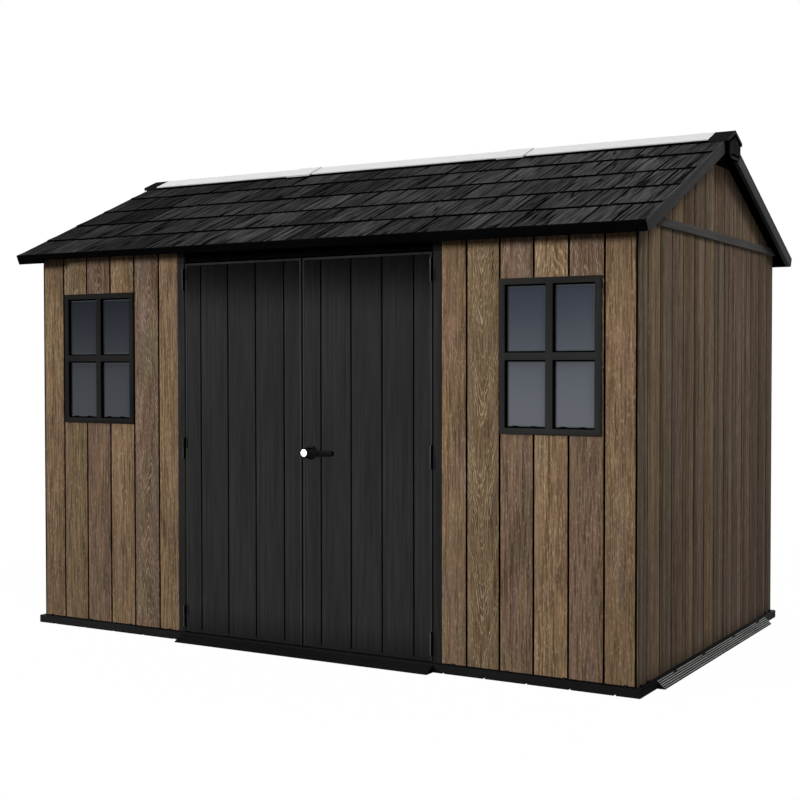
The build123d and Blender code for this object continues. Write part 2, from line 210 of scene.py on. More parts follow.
# Oak-look boards: each board has its own seed, tone, figure and cast
oakLook = {
    "deep": rgb(0.062, 0.039, 0.024),
    "mid": rgb(0.192, 0.125, 0.074),
    "umber": rgb(0.126, 0.077, 0.049),
    "ash": rgb(0.162, 0.120, 0.090),
    "limed": rgb(0.400, 0.315, 0.220),
    "casts": (   # greyish, purple, golden and olive boards
        (0.0, rgb(0.95, 1.02, 0.97)), (0.3, rgb(1.01, 0.96, 1.04)),
        (0.7, rgb(1.05, 1.00, 0.90)), (1.0, rgb(1.01, 1.03, 0.91)),
    ),
    "seedShift": 61.0,
    "grains": {   # scales across and along the board, place, detail and roughness
        "wander": (4.0, 1.6, 0.0),
        "wave": (44.0, 12.0, 71.0, 3.0),
        "fleck": (165.0, 42.0, 9.0, 2.0, 0.6),
        "fine": (200.0, 8.0, 3.0, 1.0),
        "streak": (88.0, 3.6, 23.0, 2.0, 0.6),
        "band": (18.0, 0.7, 29.0),
        "ashen": (26.0, 1.0, 57.0),
        "cloud": (7.0, 2.4, 17.0, 3.0),
        "mottle": (9.0, 3.2, 83.0),
        "wide": (34.0, 0.6, 97.0, 1.0),
    },
    "patches": (0.37, 1.7, 41.0),     # stretches of an arc that are limed
    "heartShift": 0.04,
    "heartWander": 0.07,
    "lineWander": 0.04,
    "ringWave": 2.2,
    "arcsPerMetre": 19.0,     # cathedral arcs up a figured board
    "arcSteepness": 6.0,
    "arcTip": 0.012,
    "linesPerMetre": 75.0,    # straight lines across a plain board
    "footShade": 0.86,        # painted shade darkens the boards at the foot, painted light makes them paler under the eaves
    "headShade": 1.12,
    "headHeight": 1.95,
    "plainFall": 0.10,        # further painted shade at the foot of a plain board
    "plainStreak": 1.6,       # its wide streaks
    # cool tint of plain boards, painted in for the cool light on the shaded walls
    "plainTint": rgb(1.0, 1.06, 1.13),
    "footHigh": 0.10,         # painted shade at the foot of a plain board, just above the base
    "footDark": 0.45,
    "castMottle": 1.2,
}


def makeOak():
    s = newMaterial("oakBoards")
    look = oakLook
    across, along = s.boardPlace()
    seed, tone, figure, cast, plain = (s.attribute(layer) for layer in boardLayers)
    shift = seed * look["seedShift"]
    grains = s.grains((across, along, shift), look["grains"])
    fleck, fine = grains["fleck"], grains["fine"]
    # Arcs that point down on a board of figure 1 and up at -1, straight lines at 0
    wander = grains["wander"] - 0.5
    heart = across + (seed - 0.5) * look["heartShift"] + wander * look["heartWander"]
    tip = (heart * heart + look["arcTip"] ** 2) ** 0.5
    strength = abs(figure)
    arcs = (along * figure - tip * strength * look["arcSteepness"]) * look["arcsPerMetre"]
    lines = (across + wander * look["lineWander"]) * (1.0 - strength) * look["linesPerMetre"]
    phase = arcs + lines + (grains["wave"] - 0.5) * look["ringWave"]
    crest = s.smooth(phase.ripple(1.0), 0.64, 0.96)
    chosen = s.smooth(s.grain((phase, along, shift), *look["patches"]), 0.40, 0.62)
    limed = crest * chosen * s.smooth(fleck, 0.32, 0.54) * (strength * 0.75 + 0.25)
    # Fine grain, bands of colour, pale specks and dark pores
    speck = s.smooth(fleck, 0.55, 0.70)
    pore = 1.0 - s.smooth(fleck, 0.30, 0.44)
    colour = s.mix(s.smooth(fine * 0.55 + grains["streak"] * 0.45, 0.34, 0.64), look["deep"], look["mid"])
    colour = s.mix(s.smooth(grains["band"], 0.48, 0.66) * 0.50, colour, look["umber"])
    colour = s.mix(s.smooth(grains["ashen"], 0.50, 0.70) * 0.45, colour, look["ash"])
    colour = s.mix(pore * 0.30, colour, look["deep"])
    colour = s.mix(limed * 0.66 + speck * 0.30, colour, look["limed"])
    # Painted shade and light up the wall, and each board's own tone and cast
    height = s.objectPlace()[2]
    rise = s.smooth(height, 0.0, look["headHeight"])
    paintedShading = rise * (look["headShade"] - look["footShade"]) + look["footShade"]
    # Painted shade just above the base, on plain boards
    foot = 1.0 - s.smooth(height, baseTop - look["footHigh"] / 2, baseTop + look["footHigh"])
    paintedShading = paintedShading - plain * ((1.0 - rise) * look["plainFall"] + foot * look["footDark"])
    wide = (grains["wide"] - 0.5) * plain * look["plainStreak"]
    colour = s.scaled(colour, tone * paintedShading * (grains["cloud"] * 0.5 + 0.75 + wide))
    turned = cast + (grains["mottle"] - 0.5) * look["castMottle"]
    colour = s.tinted(colour, s.node("ShaderNodeValToRGB", {"stops": look["casts"]}, {"Fac": turned}))
    # Plain boards get the cool tint, a painted light colour
    colour = s.mix(plain, colour, s.tinted(colour, look["plainTint"]))
    return s.surface(
        Base_Color=colour,
        Roughness=0.88 - fine * 0.22,
        Normal=s.bump(fine * 0.6 - limed * 0.4 + fleck * 0.3, 0.30, 0.002),
        Specular_IOR_Level=0.08,
    )


# Charcoal door boards with a fine upright grain, with painted shade at the head under the eaves and at the
# foot
doorLook = {
    "dark": rgb(0.0164, 0.0165, 0.0167),
    "light": rgb(0.0296, 0.0297, 0.0300),
    "seedShift": 47.0,
    "grains": {"streak": (60.0, 1.8, 0.0, 4.0, 0.62), "vein": (420.0, 9.0, 7.0), "cloud": (9.0, 1.3, 13.0)},
    "head": (1.58, 1.86),     # heights between which the painted shade sets in
    "headShade": 0.84,
    "foot": (0.02, 0.20),
    "footShade": 0.46,
}


def makeDoorCharcoal():
    s = newMaterial("doorCharcoal")
    look = doorLook
    across, along = s.boardPlace()
    shift = s.attribute("boardSeed") * look["seedShift"]
    streak, vein, cloud = s.grains((across, along, shift), look["grains"]).values()
    colour = s.mix(s.smooth(streak * 0.7 + vein * 0.3, 0.28, 0.74), look["dark"], look["light"])
    head = s.smooth(along, *look["head"])
    foot = 1.0 - s.smooth(along, *look["foot"])
    kept = 1.0 - head * (1.0 - s.attribute("boardCast")) * look["headShade"]      # rims are spared part of the painted shade at the head
    kept = kept * (1.0 - foot * look["footShade"])
    colour = s.scaled(colour, (cloud * 0.4 + 0.8) * s.attribute("boardTone") * kept)
    return s.surface(
        Base_Color=colour,
        Roughness=0.78 - vein * 0.18,
        Normal=s.bump(streak * 0.6 + vein * 0.4, 0.25, 0.002),
        Specular_IOR_Level=0.015,
    )


# Charcoal shingles with pale streaks and dark splits down the slope
shingleFinish = {
    "dark": rgb(0.0100, 0.0100, 0.0102),
    "light": rgb(0.0955, 0.0955, 0.0966),
    "seedShift": 53.0,
    "grains": {
        "streak": (78.0, 3.4, 0.0, 3.0, 0.66), "vein": (160.0, 7.0, 5.0, 2.0, 0.6),
        "cloud": (6.0, 6.0, 19.0), "crack": (24.0, 1.0, 31.0, 1.0),
    },
    "split": (0.006, 0.030),
    "splitShade": 0.85,
}


def makeShingleCharcoal():
    s = newMaterial("shingleCharcoal")
    look = shingleFinish
    across, along = s.boardPlace()
    shift = s.attribute("boardSeed") * look["seedShift"]
    streak, vein, cloud, crack = s.grains((across, along, shift), look["grains"]).values()
    split = 1.0 - s.smooth(abs(crack - 0.5), *look["split"])
    pale = s.smooth(streak * 0.55 + vein * 0.45, 0.32, 0.72) * (cloud * 0.9 + 0.35)
    colour = s.mix(pale, look["dark"], look["light"])
    colour = s.scaled(colour, s.attribute("boardTone") * (1.0 - split * look["splitShade"]))
    return s.surface(
        Base_Color=colour,
        Roughness=0.86 - vein * 0.2,
        Normal=s.bump(streak * 0.7 + vein * 0.5 - split * 0.8, 0.5, 0.004),
        Specular_IOR_Level=0.0,
    )


# Panes: slate grey, with a painted reflection that is paler towards the bottom of the window
glassLook = {
    "top": rgb(0.039, 0.0455, 0.061), "bottom": rgb(0.123, 0.132, 0.151), "alpha": 0.96,
    "haze": (3.0, 3.0, 2.0), "hazeDrop": 0.12, "lowShift": 0.02, "highShift": 0.08,
}


def makeGlass():
    s = newMaterial("windowPane")
    look = glassLook
    low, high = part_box("right_window_glass")
    # The gradient from top to bottom is a painted reflection
    haze = s.speckle(look["haze"]) - 0.5
    height = s.objectPlace()[2] + haze * look["hazeDrop"]
    drop = s.smooth(height, low.z + look["lowShift"], high.z + look["highShift"])
    return s.surface(
        Base_Color=s.scaled(s.mix(drop, look["bottom"], look["top"]), s.attribute("boardTone")),
        Roughness=0.12 + haze * 0.06,
        Alpha=look["alpha"],
        Specular_IOR_Level=0.0,
    )


# Pale ridge sheets with fine ribs
ridgeFinish = {
    "dark": rgb(0.595, 0.60, 0.605), "light": rgb(0.69, 0.69, 0.69), "rib": 0.016, "cloud": (1.7, 6.0, 6.0),
}


def makeRidgeLight():
    s = newMaterial("ridgeLight")
    look = ridgeFinish
    rib = s.objectPlace()[0].ripple(look["rib"])
    cloud = s.speckle(look["cloud"])
    return s.surface(
        Base_Color=s.mix(cloud * 0.6 + rib * 0.2, look["dark"], look["light"]),
        Roughness=0.42 + cloud * 0.1,
        Normal=s.bump(rib, 0.12, 0.001),
        Transmission_Weight=0.15,
        Specular_IOR_Level=0.25,
    )


# Moulded plastic: dark and light tone, specular level, and roughness where it differs
mouldedLook = {
    "grooveShade": ((0.0030, 0.0022, 0.0018), (0.0055, 0.0042, 0.0034), 0.0),
    "wallLining": ((0.20, 0.172, 0.145), (0.28, 0.245, 0.21), 0.15),
    "doorGroove": ((0.0018, 0.0018, 0.0018), (0.0036, 0.0036, 0.0036), 0.0),
    "roofCore": ((0.0016, 0.0016, 0.0016), (0.0034, 0.0034, 0.0034), 0.0),
    "blackTrim": ((0.0016, 0.0016, 0.0017), (0.0034, 0.0034, 0.0035), 0.0),
    "ridgeCapBlack": ((0.0085, 0.0085, 0.0087), (0.0145, 0.0145, 0.0148), 0.0),
    "ridgeCapRim": ((0.046, 0.046, 0.0465), (0.070, 0.070, 0.0710), 0.0),
    "ventGrey": ((0.024, 0.022, 0.020), (0.038, 0.035, 0.032), 0.0),
    "blackBase": ((0.0050, 0.0050, 0.0054), (0.0086, 0.0086, 0.0092), 0.02),
    "baseEndGrey": ((0.0036, 0.0036, 0.0037), (0.0075, 0.0075, 0.0077), 0.01),
    "rampShade": ((0.004, 0.0042, 0.004), (0.009, 0.0092, 0.009), 0.02),
    "bargeGrey": ((0.044, 0.044, 0.0444), (0.066, 0.066, 0.0666), 0.02),
    "hingeCharcoal": ((0.060, 0.060, 0.0610), (0.085, 0.085, 0.0864), 0.04),
    "floorCharcoal": ((0.024, 0.024, 0.0244), (0.040, 0.040, 0.0406), 0.06),
    "windowFrame": ((0.0122, 0.0120, 0.0116), (0.0198, 0.0195, 0.0189), 0.04),
    "shadedFrame": ((0.0080, 0.0080, 0.0080), (0.0132, 0.0131, 0.0130), 0.02),
    "paneGasket": ((0.0012, 0.0012, 0.0013), (0.0025, 0.0025, 0.0027), 0.0),
    "paneBead": ((0.050, 0.056, 0.058), (0.074, 0.082, 0.086), 0.04),
    "handleBlack": ((0.0010, 0.0010, 0.001), (0.0022, 0.0022, 0.0022), 0.03, 0.45),
}
mouldedGrain = {"stipple": (360.0, 360.0, 360.0), "cloud": (2.3, 2.3, 2.3), "bump": 0.12, "deep": 0.0008}


def makeMoulded(name, dark, light, specular, roughness=0.6):
    # A fine stipple with a faint cloud of tone
    s = newMaterial(name)
    stipple = s.speckle(mouldedGrain["stipple"])
    cloud = s.speckle(mouldedGrain["cloud"], 3.0)
    return s.surface(
        Base_Color=s.mix(s.smooth(cloud * 0.6 + stipple * 0.4, 0.3, 0.7), rgb(*dark), rgb(*light)),
        Roughness=roughness + (stipple - 0.5) * 0.2,
        Normal=s.bump(stipple, mouldedGrain["bump"], mouldedGrain["deep"]),
        Specular_IOR_Level=specular,
    )


# Trim with a faint grain along its length: dark and light tone, specular level, and the grain's axis
trimLook = {
    "pendantGrey": ((0.014, 0.014, 0.0142), (0.072, 0.072, 0.0730), 0.0, 2),
    "jambBlack": ((0.0090, 0.0088, 0.0086), (0.0170, 0.0165, 0.0160), 0.04, 2),
    "rampGrey": ((0.25, 0.257, 0.245), (0.41, 0.420, 0.400), 0.06, 1),
    "railGrey": ((0.068, 0.0655, 0.0620), (0.100, 0.0965, 0.0915), 0.02, 1),
}
trimGrain = {"along": 3.0, "across": 70.0, "bump": 0.2, "deep": 0.0015}


def makeTrim(name, dark, light, specular, alongAxis):
    s = newMaterial(name)
    scales = [trimGrain["along" if axis == alongAxis else "across"] for axis in range(3)]
    streak = s.speckle(scales, 3.0, 0.6)
    return s.surface(
        Base_Color=s.mix(s.smooth(streak, 0.3, 0.72), rgb(*dark), rgb(*light)),
        Roughness=0.7 - streak * 0.2,
        Normal=s.bump(streak, trimGrain["bump"], trimGrain["deep"]),
        Specular_IOR_Level=specular,
    )


# Brushed metal: tone and roughness
metalLook = {"lockFace": ((0.85, 0.85, 0.85), 0.3), "rafterSteel": ((0.42, 0.43, 0.44), 0.5)}
metalGrain = {"brushed": (400.0, 40.0, 400.0), "shine": rgb(0.9, 0.9, 0.9), "bump": 0.05, "deep": 0.0005}


def makeMetal(name, tone, roughness):
    s = newMaterial(name)
    brushed = s.speckle(metalGrain["brushed"])
    return s.surface(
        Base_Color=s.mix(brushed * 0.4, rgb(*tone), metalGrain["shine"]),
        Metallic=1.0,
        Roughness=roughness + brushed * 0.15,
        Normal=s.bump(brushed, metalGrain["bump"], metalGrain["deep"]),
    )


made = [make() for make in (makeOak, makeDoorCharcoal, makeShingleCharcoal, makeGlass, makeRidgeLight)]
for make, table in ((makeMoulded, mouldedLook), (makeTrim, trimLook), (makeMetal, metalLook)):
    made += [make(name, *numbers) for name, numbers in table.items()]
finishes = {material.name: material for material in made}
print("finishes:", len(finishes))


def slab(bm, low, high, finish=0):
    # Box between two corners
    low, high = Vector(low), Vector(high)
    corners = bmesh.ops.create_cube(bm, size=1.0)["verts"]
    bmesh.ops.scale(bm, vec=high - low, verts=corners)
    bmesh.ops.translate(bm, vec=(low + high) / 2, verts=corners)
    for face in {f for v in corners for f in v.link_faces}:
        face.material_index = finish
    return corners


def paint(bm, finish, chosen):
    # Gives a finish to the faces that a test picks out
    for face in bm.faces:
        if chosen(face):
            face.material_index = finish


def bevelEdges(bm, edges, offset, segments=2):
    bmesh.ops.bevel(
        bm, geom=edges, offset=offset, offset_type="OFFSET", affect="EDGES",
        segments=segments, profile=0.5, material=-1, clamp_overlap=True,
    )


def outwardSpan(sign, inner, outer):
    # Two distances from the middle of the shed, as low and high x on one side of it
    return sorted((sign * inner, sign * outer))


def topEdges(bm, top=0.0):
    return [e for e in bm.edges if all(v.co.z > top - tiny for v in e.verts)]


def edgesOf(corners):
    return list({e for v in corners for e in v.link_edges})


def everything(bm):
    return bm.verts[:] + bm.edges[:] + bm.faces[:]


def cutAway(bm, point, normal):
    # Takes off what lies on the normal's side of a plane, and closes the cut
    cut = bmesh.ops.bisect_plane(bm, geom=everything(bm), plane_co=point, plane_no=normal, clear_outer=True)
    edges = [e for e in cut["geom_cut"] if isinstance(e, bmesh.types.BMEdge)]
    if edges:
        bmesh.ops.edgenet_fill(bm, edges=edges)
    bmesh.ops.recalc_face_normals(bm, faces=bm.faces)


def joinInto(target, source, matrix=None):
    if matrix:
        bmesh.ops.transform(source, matrix=matrix, verts=source.verts)
    carrier = bpy.data.meshes.new("carrier")
    source.to_mesh(carrier)
    source.free()
    target.from_mesh(carrier)
    bpy.data.meshes.remove(carrier)


def joinSlab(target, matrix, low, high, finish=0, edge=0.0):
    # Box in a wall's or slope's own frame, with its edges eased where an edge is given
    box = bmesh.new()
    slab(box, low, high, finish)
    if edge:
        bevelEdges(box, box.edges[:], edge, 1)
    joinInto(target, box, matrix)


def boardMesh():
    # Empty mesh with the layers that a board's finish reads
    bm = bmesh.new()
    bm.loops.layers.uv.new("grain")
    for layer in boardLayers:
        bm.verts.layers.float.new(layer)
    return bm


def stampBoard(bm, middle, marks, alongAxis=2, stretch=1.0):
    # Every corner gets its place across and along the board, and the board's marks
    grain = bm.loops.layers.uv["grain"]
    layers = [bm.verts.layers.float[layer] for layer in boardLayers]
    for v in bm.verts:
        for layer, mark in zip(layers, marks):
            v[layer] = mark
    for face in bm.faces:
        for loop in face.loops:
            loop[grain].uv = (loop.vert.co.x - middle, loop.vert.co[alongAxis] * stretch)


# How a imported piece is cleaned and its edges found, and where shading breaks, in metres and degrees
meshLook = {"weld": 1e-5, "flat": 1.0, "sharp": 25.0, "shadeBreak": 32.0}


def softened(node, width):
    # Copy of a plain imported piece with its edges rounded
    bm = bmesh.new()
    bm.from_mesh(nodes[node].data)
    bmesh.ops.remove_doubles(bm, verts=bm.verts, dist=meshLook["weld"])
    flat, sharp = math.radians(meshLook["flat"]), math.radians(meshLook["sharp"])
    bmesh.ops.dissolve_limit(bm, angle_limit=flat, verts=bm.verts, edges=bm.edges)
    bevelEdges(bm, [e for e in bm.edges if e.is_manifold and e.calc_face_angle() > sharp], width)
    paint(bm, 0, lambda face: True)
    return bm


def addPiece(name, bm, finishNames, slotName, *replaced, body="shell", shadow=True):
    mesh = bpy.data.meshes.new(name)
    bm.to_mesh(mesh)
    bm.free()
    for finishName in finishNames:
        mesh.materials.append(finishes[finishName])
    mesh.shade_smooth()
    mesh.set_sharp_from_angle(angle=math.radians(meshLook["shadeBreak"]))
    piece = bpy.data.objects.new(name, mesh)
    piece.visible_shadow = shadow
    bpy.context.scene.collection.objects.link(piece)
    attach(piece, body)
    if replaced:
        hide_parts(*replaced)
    return piece


# Boarded walls
boardLook = {
    "thick": 0.007,
    "groove": 0.009,
    "edge": 0.0018,
    "cornerGap": 0.011,       # front board short of the corner
    "endGap": 0.002,          # end board short of the corner
    "frontFirst": 0.1225,     # board beside the jamb
    "frontPitch": 0.1597,
    "frontLast": 1.5,         # widest corner board, in pitches
    "endPitch": 0.151,
    "endLeast": 0.02,         # narrowest corner board of an end
    "backPitch": 0.165,
    "windowLap": 0.019,
    "rightTones": (1.02, 0.91, 0.98, 1.32, 0.97, 1.04),   # boards of a front panel, left to right
    "leftTones": (1.02, 0.96, 0.86, 1.14, 0.84, 1.06),
    "rightFigures": (0.12, 1.0, -0.9, -0.6, -1.0, 0.10),
    "leftFigures": (0.10, -0.8, -0.9, -0.6, -1.0, 0.12),
    "panelCasts": (0.70, 0.98, 0.30, 0.76, 0.26, 0.68),
    "underWindow": 0.08,      # share of the figure left on a board under a window
    "plainTone": 1.03,        # boards of the end and back walls
    "toneSpread": 0.20,
    "figureSpread": 0.2,
    "castSpread": 1.0,
    "endFall": 0.40,          # painted shade darkens the end boards towards the back
    "endEven": 0.35,          # share of the way back where they have their own tone
    "endStretch": 0.45,       # their grain is longer
    "gableTone": 1.02,
    "gableOverrun": 0.01,     # gable boards past the ridge before the roof cuts them
    "lining": 0.004,
    "liningGroove": 0.004,
    "seed": 11,
}
wallFinishes = ("oakBoards", "grooveShade", "wallLining")
dice = random.Random(boardLook["seed"])


def boardSpans(edges, groove):
    # Low and high side of each board, half a groove short of its neighbours
    for index, (start, end) in enumerate(zip(edges, edges[1:])):
        low = start if index == 0 else start + groove / 2
        high = end if index == len(edges) - 2 else end - groove / 2
        yield low, high


def boardPieces(low, high, foot, head, hole):
    # A board's rectangles once a window hole is taken out of it, as (low, high, foot, head)
    if not hole or high <= hole[0] or low >= hole[1]:
        return [(low, high, foot, head)]
    pieces = [(low, high, foot, hole[2]), (low, high, hole[3], head)]
    if low < hole[0]:
        pieces.append((low, hole[0], hole[2], hole[3]))
    if high > hole[1]:
        pieces.append((hole[1], high, hole[2], hole[3]))
    return pieces


def shadeSides(board):
    # The gaps beside a board stay dark
    paint(board, 1, lambda face: abs(face.normal.x) > 0.99)


def addBoards(target, matrix, edges, foot, head, marks, hole=None, cuts=(), stretch=1.0):
    look = boardLook
    for (low, high), (seed, tone, figure, *rest) in zip(boardSpans(edges, look["groove"]), marks):
        for x0, x1, z0, z1 in boardPieces(low, high, foot, head, hole):
            board = boardMesh()
            slab(board, (x0, 0, z0), (x1, look["thick"], z1))
            longEdges = [
                e for e in board.edges
                if all(v.co.y < tiny for v in e.verts)
                and abs(e.verts[0].co.x - e.verts[1].co.x) < tiny
                and min(abs(e.verts[0].co.x - low), abs(e.verts[0].co.x - high)) < tiny
            ]
            bevelEdges(board, longEdges, look["edge"])
            shadeSides(board)
            for point, normal in cuts:
                cutAway(board, point, normal)
            share = look["underWindow"] if hole and z1 == hole[2] else 1.0
            stampBoard(board, (low + high) / 2, (seed, tone, figure * share, *rest), stretch=stretch)
            joinInto(target, board, matrix)


def addCore(target, matrix, edges, low, high, foot, head, hole=None, cuts=()):
    # Dark backing behind the grooves, and plain lining boards inside
    look = boardLook
    inner = wallThick - look["lining"]
    half = look["liningGroove"] / 2
    joints = [low, *edges[1:-1], high]
    slabs = [(low, high, look["thick"], inner, 1)]
    slabs += [(start + half, end - half, inner, wallThick, 2) for start, end in zip(joints, joints[1:])]
    for start, end, front, back, finish in slabs:
        core = boardMesh()
        for x0, x1, z0, z1 in boardPieces(start, end, foot, head, hole):
            slab(core, (x0, front, z0), (x1, back, z1), finish)
        for point, normal in cuts:
            cutAway(core, point, normal)
        joinInto(target, core, matrix)


def rolledMarks(count):
    # Tone, seed, figure and cast of boards that have no place of their own, drawn in that order
    look = boardLook
    marks = []
    for _ in range(count):
        tone = look["plainTone"] + dice.uniform(-look["toneSpread"], look["toneSpread"])
        seed = dice.random()
        figure = dice.uniform(-look["figureSpread"], look["figureSpread"])
        cast = dice.uniform(0.0, look["castSpread"])
        marks.append((seed, tone, figure, cast, 1.0))
    return marks


def windowHole(side):
    low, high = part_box(side + "_window_frame")
    lap = boardLook["windowLap"]
    return (low.x + lap, high.x - lap, low.z + lap, high.z - lap)


def makeFrontWalls():
    look = boardLook
    rightEdges = [jambEdge, jambEdge + look["frontFirst"]]
    while rightEdges[-1] + look["frontPitch"] * look["frontLast"] < cornerX:
        rightEdges.append(rightEdges[-1] + look["frontPitch"])
    rightEdges.append(cornerX - look["cornerGap"])
    leftEdges = [-x for x in reversed(rightEdges)]
    core = cornerX - look["thick"]
    for side, edges in (("right", rightEdges), ("left", leftEdges)):
        bm = boardMesh()
        hole = windowHole(side)
        looks = zip(look[side + "Tones"], look[side + "Figures"], look["panelCasts"])
        marks = [(dice.random(), *three) for three in looks]
        addBoards(bm, wallFrames["front"], edges, baseTop, wallTop, marks, hole)
        inner = outwardSpan(signs[side], jambEdge, core)
        addCore(bm, wallFrames["front"], edges, *inner, baseTop, wallTop, hole)
        addPiece(f"front{side.title()}Boards", bm, wallFinishes, "oak_boards", f"front_wall_{side}")


def makeEndWalls():
    look = boardLook
    halfDepth = -faceY
    edges = [0.0]
    while edges[-1] + look["endPitch"] < halfDepth - look["endLeast"]:
        edges.append(edges[-1] + look["endPitch"])
    edges.append(halfDepth - look["endGap"])
    edges = [-y for y in reversed(edges[1:])] + edges
    count = len(edges) - 1
    stretch = look["endStretch"]
    # Painted shade: tones fall from the front to the back
    falls = [1.0 - look["endFall"] * (step / count - look["endEven"]) for step in range(count)]
    wallMarks = [(seed, tone * fall, *rest) for (seed, tone, *rest), fall in zip(rolledMarks(count), falls)]
    gableMarks = [(seed, tone * look["gableTone"], *rest) for seed, tone, *rest in rolledMarks(count)]
    apex = eaveCorner.z - eaveCorner.y * math.tan(roofPitch) - roofThick / math.cos(roofPitch)
    ridge = Vector((0, 0, apex))
    outward = [Vector((side * math.sin(roofPitch), 0, math.cos(roofPitch))) for side in (-1, 1)]
    roofCuts = [(ridge, normal) for normal in outward]
    head = apex + look["gableOverrun"]
    core = halfDepth - look["thick"]
    for side in ("right", "left"):
        matrix = wallFrames[side]
        bm = boardMesh()
        marks = wallMarks if side == "right" else wallMarks[::-1]
        addBoards(bm, matrix, edges, baseTop, railFoot, marks, stretch=stretch)
        addCore(bm, matrix, edges, -core, core, baseTop, railFoot)
        addPiece(side + "EndBoards", bm, wallFinishes, "oak_boards", side + "_end_wall")
        gable = boardMesh()
        addBoards(gable, matrix, edges, railFoot, head, gableMarks, None, roofCuts, stretch)
        addCore(gable, matrix, edges, -core, core, railFoot, head, None, roofCuts)
        addPiece(side + "GableBoards", gable, wallFinishes, "oak_boards", side + "_gable")


def makeBackWall():
    look = boardLook
    span = cornerX - look["cornerGap"]
    count = round(2 * span / look["backPitch"])
    edges = [-span + 2 * span * step / count for step in range(count + 1)]
    bm = boardMesh()
    addBoards(bm, wallFrames["back"], edges, baseTop, wallTop, rolledMarks(count))
    core = cornerX - look["thick"]
    addCore(bm, wallFrames["back"], edges, -core, core, baseTop, wallTop)
    panels = [f"back_wall_{place}" for place in ("left", "middle", "right")]
    addPiece("backBoards", bm, wallFinishes, "oak_boards", *panels)


makeFrontWalls()
makeEndWalls()
makeBackWall()
print("walls boarded")

# Door leaves: a core, and on each face a narrow rim round upright boards
leafLook = {
    "board": 0.006,
    "border": 0.011,
    "recess": 0.0012,
    "groove": 0.0072,
    "edge": 0.0022,
    "rimEdge": 0.0012,
    "first": 0.1005,          # board beside the meeting edge
    "pitch": 0.165,
    "last": 1.2,              # widest board at the hinges, in pitches
    "rimTones": (1.45, 1.45, 0.85, 1.45),     # left, right, foot and head: rims paler than the boards as a painted highlight, all but the foot
    "rimKept": 0.6,           # share of the painted shade at the head that a rim is spared
    "seed": 23,
}
hingeLook = {"edge": 0.0008, "plate": 0.0045}     # plate: how far its face may stand out from the wall
jambLook = {"edge": 0.003}


def ring(x0, x1, z0, z1, width):
    # Left, right, foot and head strips round a rectangle, as (x0, x1, z0, z1)
    left, right = x0 + width, x1 - width
    foot, head = (left, right, z0, z0 + width), (left, right, z1 - width, z1)
    return (x0, left, z0, z1), (right, x1, z0, z1), foot, head


def addLeafFace(target, low, high, edges, face, inward, rolls):
    look = leafLook
    border = look["border"]
    inner = face + inward * look["board"]
    outer = face + inward * look["recess"]
    slabs = [
        (x0, x1, low.z + border, high.z - border, outer, look["edge"], 1.0, 0.0)
        for x0, x1 in boardSpans(edges, look["groove"])
    ]
    rims = zip(ring(low.x, high.x, low.z, high.z, border), look["rimTones"])
    slabs += [(*rim, face, look["rimEdge"], tone, look["rimKept"]) for rim, tone in rims]
    for x0, x1, z0, z1, y, edge, tone, kept in slabs:
        board = boardMesh()
        slab(board, (x0, min(y, inner), z0), (x1, max(y, inner), z1))
        bevelEdges(board, [e for e in board.edges if all(abs(v.co.y - y) < tiny for v in e.verts)], edge)
        shadeSides(board)
        stampBoard(board, (x0 + x1) / 2, (rolls.random(), tone, 0.0, kept))
        joinInto(target, board, wallFrames["front"])


def makeLeaf(side):
    look = leafLook
    node = side + "_door_leaf"
    low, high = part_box(node)
    thick = high.y - low.y
    sign = signs[side]
    meeting, outer = (low.x, high.x)[::sign]
    bm = boardMesh()
    coreLow, coreHigh = (low.x, look["board"], low.z), (high.x, thick - look["board"], high.z)
    joinSlab(bm, wallFrames["front"], coreLow, coreHigh, 1)
    edges = [meeting + sign * look["border"], meeting + sign * look["first"]]
    while abs(outer - edges[-1]) > look["pitch"] * look["last"]:
        edges.append(edges[-1] + sign * look["pitch"])
    edges.append(outer - sign * look["border"])
    edges.sort()
    rolls = random.Random(look["seed"])
    for face, inward in ((0.0, 1), (thick, -1)):
        addLeafFace(bm, low, high, edges, face, inward, rolls)
    leafFinishes = ("doorCharcoal", "doorGroove")
    addPiece(side + "LeafBoards", bm, leafFinishes, "charcoal_doors", node, body=side + "_door")


def makeHinges(node, body):
    # Knuckles with a painted highlight on their left side and black on the other, with plates the grey of the
    # jamb
    bm = softened(node, hingeLook["edge"])
    plateFront = faceY - hingeLook["plate"]
    # Left-facing knuckle faces get a paler finish, a painted highlight
    paint(bm, 2, lambda face: face.normal.x < 0.0)
    paint(bm, 1, lambda face: face.calc_center_median().y > plateFront)
    name = node.title().replace("_", "")
    hingeFinishes = ("blackTrim", "jambBlack", "hingeCharcoal")
    addPiece(name, bm, hingeFinishes, "black_trim", node, body=body, shadow=False)


def makeHeader():
    # Black between the jambs, and the grey of the jambs above them
    bm = softened("door_header", jambLook["edge"])
    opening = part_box("right_door_jamb")[0].x
    for x in (-opening, opening):
        bmesh.ops.bisect_plane(bm, geom=everything(bm), plane_co=(x, 0, 0), plane_no=(1, 0, 0))
    paint(bm, 1, lambda face: abs(face.calc_center_median().x) > opening)
    addPiece("doorHeader", bm, ("blackTrim", "jambBlack"), "black_trim", "door_header")


for side in ("left", "right"):
    makeLeaf(side)
    makeHinges(side + "_hinge_pins", "shell")
    makeHinges(side + "_door_hinges", side + "_door")
    jamb = side + "_door_jamb"
    addPiece(side + "Jamb", softened(jamb, jambLook["edge"]), ("jambBlack",), "black_trim", jamb)
makeHeader()
print("doors hung")

